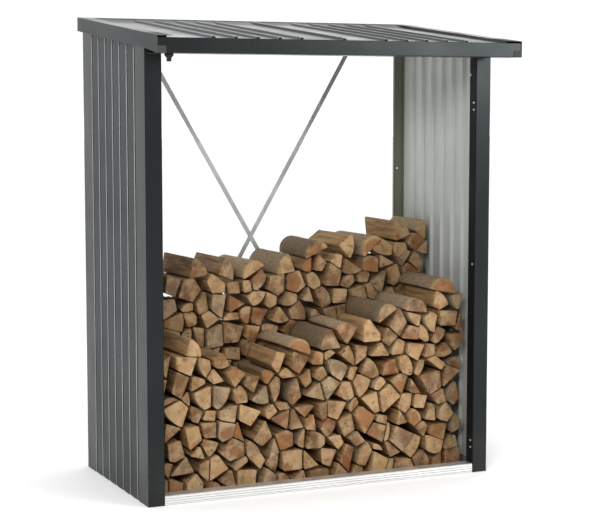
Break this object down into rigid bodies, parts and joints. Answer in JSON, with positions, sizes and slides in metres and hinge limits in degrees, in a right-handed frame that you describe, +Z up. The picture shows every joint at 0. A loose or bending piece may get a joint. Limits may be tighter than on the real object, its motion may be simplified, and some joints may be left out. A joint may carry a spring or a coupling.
{
  "type": "log store",
  "caption": "Open-fronted steel log store with a ribbed single-pitch roof, front gutter, grooved side walls and a crossed-strap back, stacked with split firewood.",
  "frame": {"origin": "on the ground under the middle of the roof's outline", "axes": "+X to the right along the front, +Y from the open front to the back, +Z up"},
  "size_m": [1.62, 1.03, 1.9901],
  "materials": {
    "anthracite_steel": "satin dark grey coat on folded steel sheet",
    "bare_aluminium": "plain mill finish",
    "galvanised_steel": "dull zinc coat",
    "dark_plastic": "fine grained moulding",
    "firewood": "rough split and sawn wood with bark"
  },
  "bodies": {
    "root": {"base_rail_left": "bare_aluminium", "base_rail_right": "bare_aluminium", "brace_strap_falling": "galvanised_steel", "brace_strap_rising": "galvanised_steel", "front_header": "anthracite_steel", "front_logs_course_01": "firewood", "front_logs_course_02": "firewood", "front_logs_course_03": "firewood", "front_logs_course_04": "firewood", "front_logs_course_05": "firewood", "front_logs_course_06": "firewood", "front_logs_course_07": "firewood", "front_logs_course_08": "firewood", "front_post_left": "anthracite_steel", "front_post_right": "anthracite_steel", "front_sill": "bare_aluminium", "gutter": "anthracite_steel", "gutter_cap_left": "dark_plastic", "gutter_cap_right": "dark_plastic", "gutter_spout": "dark_plastic", "rear_header": "anthracite_steel", "rear_logs_course_01": "firewood", "rear_logs_course_02": "firewood", "rear_logs_course_03": "firewood", "rear_logs_course_04": "firewood", "rear_logs_course_05": "firewood", "rear_logs_course_06": "firewood", "rear_logs_course_07": "firewood", "rear_logs_course_08": "firewood", "rear_logs_course_09": "firewood", "rear_logs_course_10": "firewood", "rear_logs_course_11": "firewood", "rear_post_left": "anthracite_steel", "rear_post_right": "anthracite_steel", "rear_sill": "bare_aluminium", "rear_trim": "anthracite_steel", "roof_sheet_left": "anthracite_steel", "roof_sheet_right": "anthracite_steel", "roof_side_rail_left": "anthracite_steel", "roof_side_rail_right": "anthracite_steel", "side_panel_left": "anthracite_steel", "side_panel_right": "anthracite_steel", "verge_trim_left": "anthracite_steel", "verge_trim_right": "anthracite_steel"}
  },
  "joints": []
}
